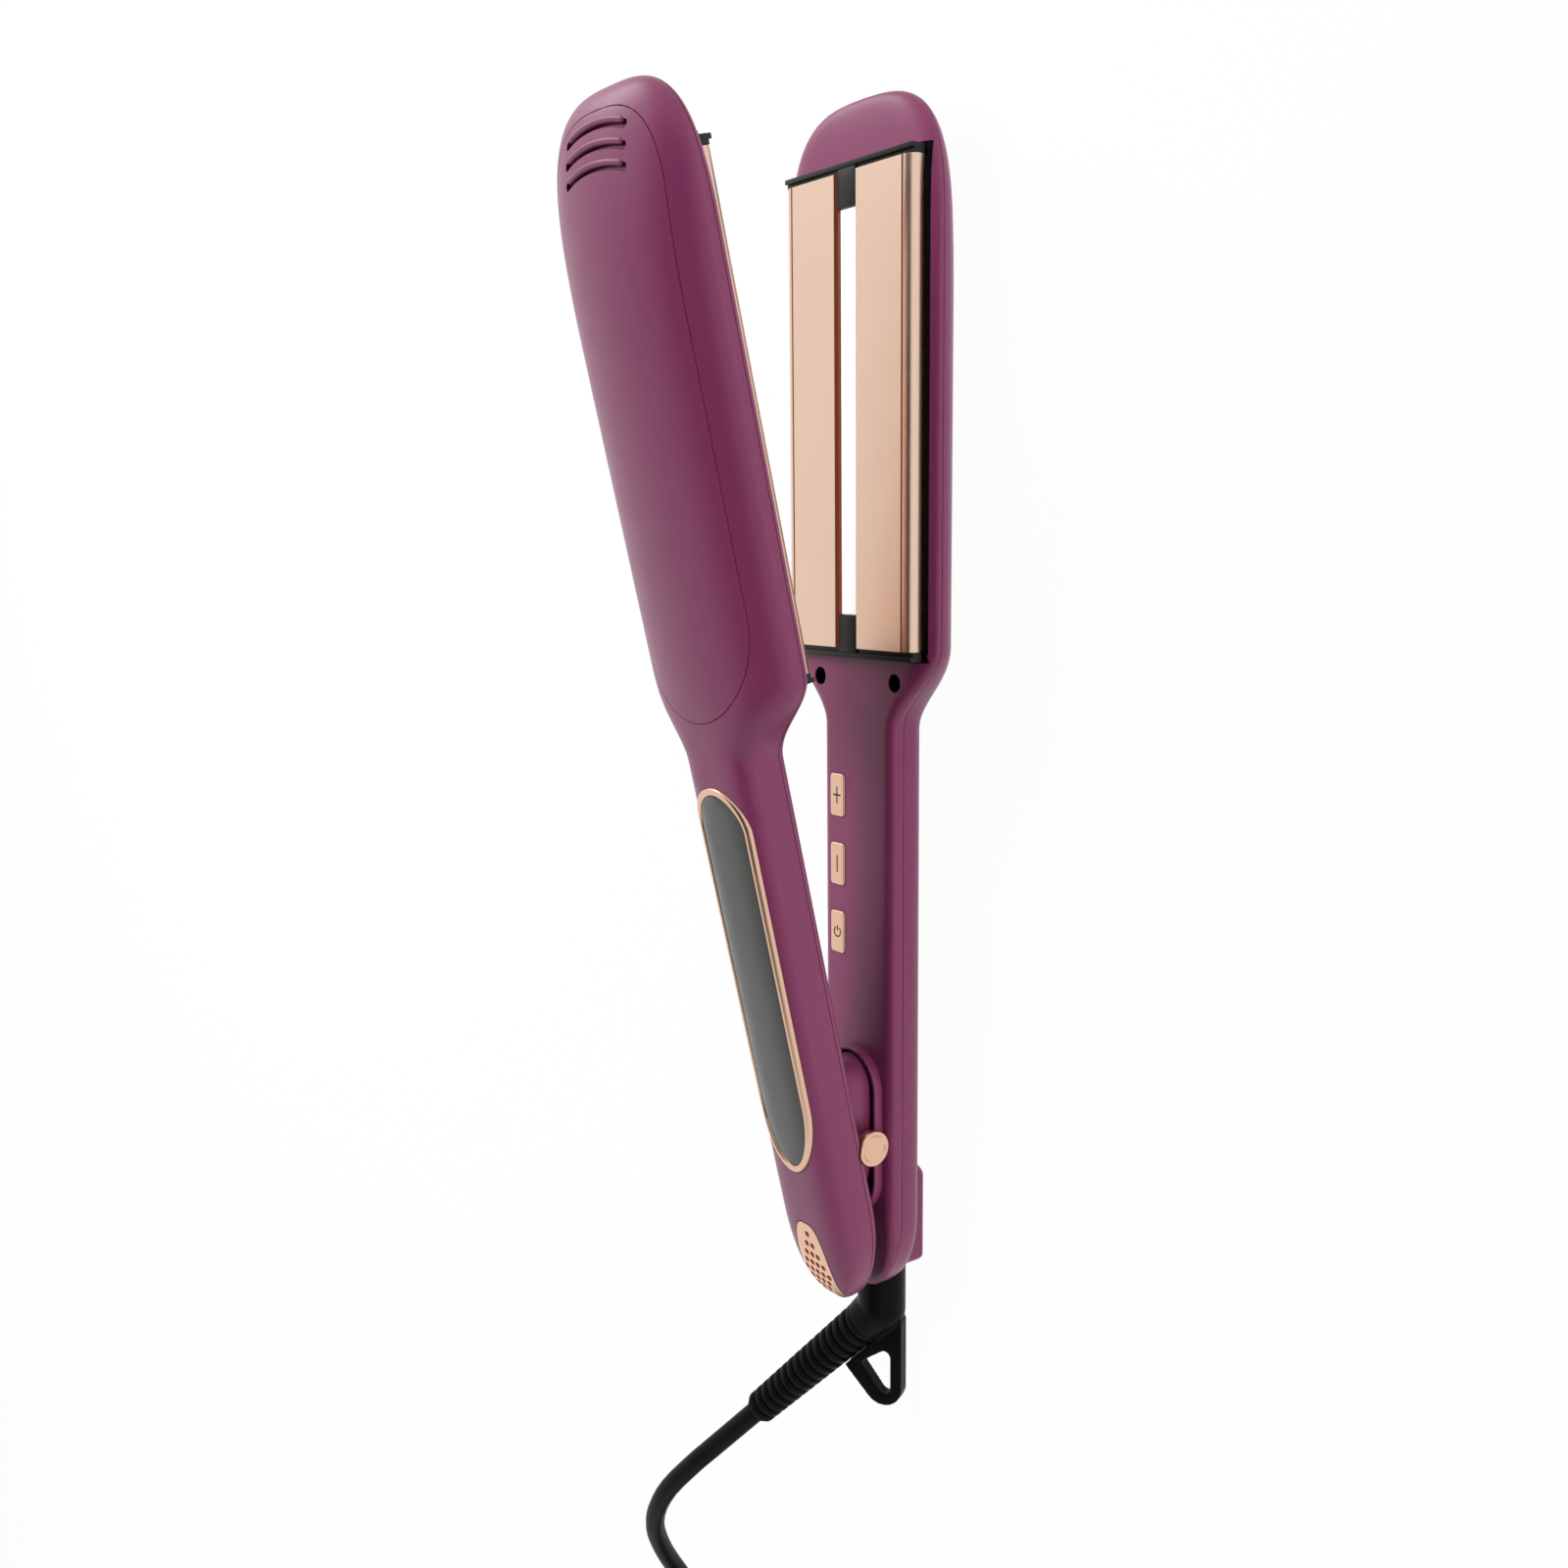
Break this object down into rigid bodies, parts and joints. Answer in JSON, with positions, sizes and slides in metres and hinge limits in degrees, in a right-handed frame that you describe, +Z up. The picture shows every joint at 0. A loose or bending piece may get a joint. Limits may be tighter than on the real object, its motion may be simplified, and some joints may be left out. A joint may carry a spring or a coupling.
{
  "type": "hair straightening iron",
  "caption": "Wide-plate hair iron with two hinged arms, floating heater plates with an infrared slot, push buttons, a display handle, a lock knob and a swivel mains cord.",
  "frame": {"origin": "on the surface that the iron lies on, under the middle of the lower heater plate", "axes": "+X from the hinge to the plate tips, +Y across the plates, +Z up from the lower arm to the upper arm"},
  "size_m": [0.5375, 0.1613, 0.087],
  "materials": {
    "shell": "soft-touch satin plum lacquer",
    "plate": "satin rose gold coated aluminium",
    "rose_gold": "satin rose gold metallised plastic",
    "black_plastic": "black heat-resistant plastic",
    "black_rubber": "black flexible sheath",
    "infrared_glass": "white diffusing infrared window",
    "display_glass": "smoked gloss display window",
    "ceramic": "white ceramic heater",
    "board": "green circuit board",
    "steel": "bare spring steel",
    "screw_steel": "blackened screws",
    "brass": "nickel-plated brass pins"
  },
  "bodies": {
    "lower_arm": {"lower_outer_shell": "shell", "lower_inner_shell": "shell", "lower_cover_panel": "shell", "lower_shell_screws": "screw_steel", "lower_plate_springs": "steel", "button_switches": "black_plastic", "control_board": "board", "hinge_bracket": "steel", "hinge_bracket_screws": "screw_steel", "hinge_pin": "steel", "hinge_spring": "steel"},
    "lower_plates": {"lower_heater_plate": "plate", "lower_plate_tip_cap": "black_plastic", "lower_plate_root_cap": "black_plastic", "lower_infrared_lens": "infrared_glass", "lower_infrared_emitter": "board", "lower_heater_element": "ceramic", "lower_plate_carrier": "black_plastic"},
    "upper_arm": {"upper_outer_shell": "shell", "upper_inner_shell": "shell", "upper_cover_panel": "shell", "upper_shell_screws": "screw_steel", "upper_plate_springs": "steel", "display_bezel": "rose_gold", "display_lens": "display_glass", "display_module": "black_plastic", "display_board": "board", "tail_grille": "rose_gold"},
    "upper_plates": {"upper_heater_plate": "plate", "upper_plate_tip_cap": "black_plastic", "upper_plate_root_cap": "black_plastic", "upper_infrared_lens": "infrared_glass", "upper_infrared_emitter": "board", "upper_heater_element": "ceramic", "upper_plate_carrier": "black_plastic"},
    "plus_button": {"plus_button": "rose_gold"},
    "minus_button": {"minus_button": "rose_gold"},
    "power_button": {"power_button": "rose_gold"},
    "lock_knob": {"lock_knob": "rose_gold"},
    "cord_swivel": {"swivel_neck": "black_plastic", "swivel_clip": "steel", "cord_strain_relief": "black_rubber", "power_cord": "black_rubber", "cord_coil": "black_rubber", "cord_tie": "black_plastic", "cord_end": "black_rubber", "plug_body": "black_plastic", "plug_pins": "brass"}
  },
  "joints": [
    {"name": "arm_hinge", "type": "hinge", "parent": "lower_arm", "child": "upper_arm", "pos_m": [-0.181, 0, 0.021], "axis": [0, 1, 0], "range_deg": [0, 12.8], "stiffness_Nm_per_rad": 0.8, "springref_deg": -28.65},
    {"name": "lower_plate_float", "type": "slide", "parent": "lower_arm", "child": "lower_plates", "axis": [0, 0, -1], "range_m": [0, 0.0008], "stiffness_N_per_m": 3000, "springref_m": -0.0015, "deforming": ["lower_plate_springs"]},
    {"name": "upper_plate_float", "type": "slide", "parent": "upper_arm", "child": "upper_plates", "axis": [-0.2215, 0, 0.9751], "range_m": [0, 0.0008], "stiffness_N_per_m": 3000, "springref_m": -0.0015, "deforming": ["upper_plate_springs"]},
    {"name": "plus_button_press", "type": "slide", "parent": "lower_arm", "child": "plus_button", "axis": [0, 0, -1], "range_m": [0, 0.0005], "stiffness_N_per_m": 800, "springref_m": -0.0005},
    {"name": "minus_button_press", "type": "slide", "parent": "lower_arm", "child": "minus_button", "axis": [0, 0, -1], "range_m": [0, 0.0005], "stiffness_N_per_m": 800, "springref_m": -0.0005},
    {"name": "power_button_press", "type": "slide", "parent": "lower_arm", "child": "power_button", "axis": [0, 0, -1], "range_m": [0, 0.0005], "stiffness_N_per_m": 800, "springref_m": -0.0005},
    {"name": "lock_knob_push", "type": "slide", "parent": "upper_arm", "child": "lock_knob", "axis": [0, 1, 0], "range_m": [0, 0.001]},
    {"name": "cord_swivel_turn", "type": "hinge", "parent": "lower_arm", "child": "cord_swivel", "pos_m": [-0.22, 0, 0.0072], "axis": [1, 0, 0], "continuous": true}
  ]
}
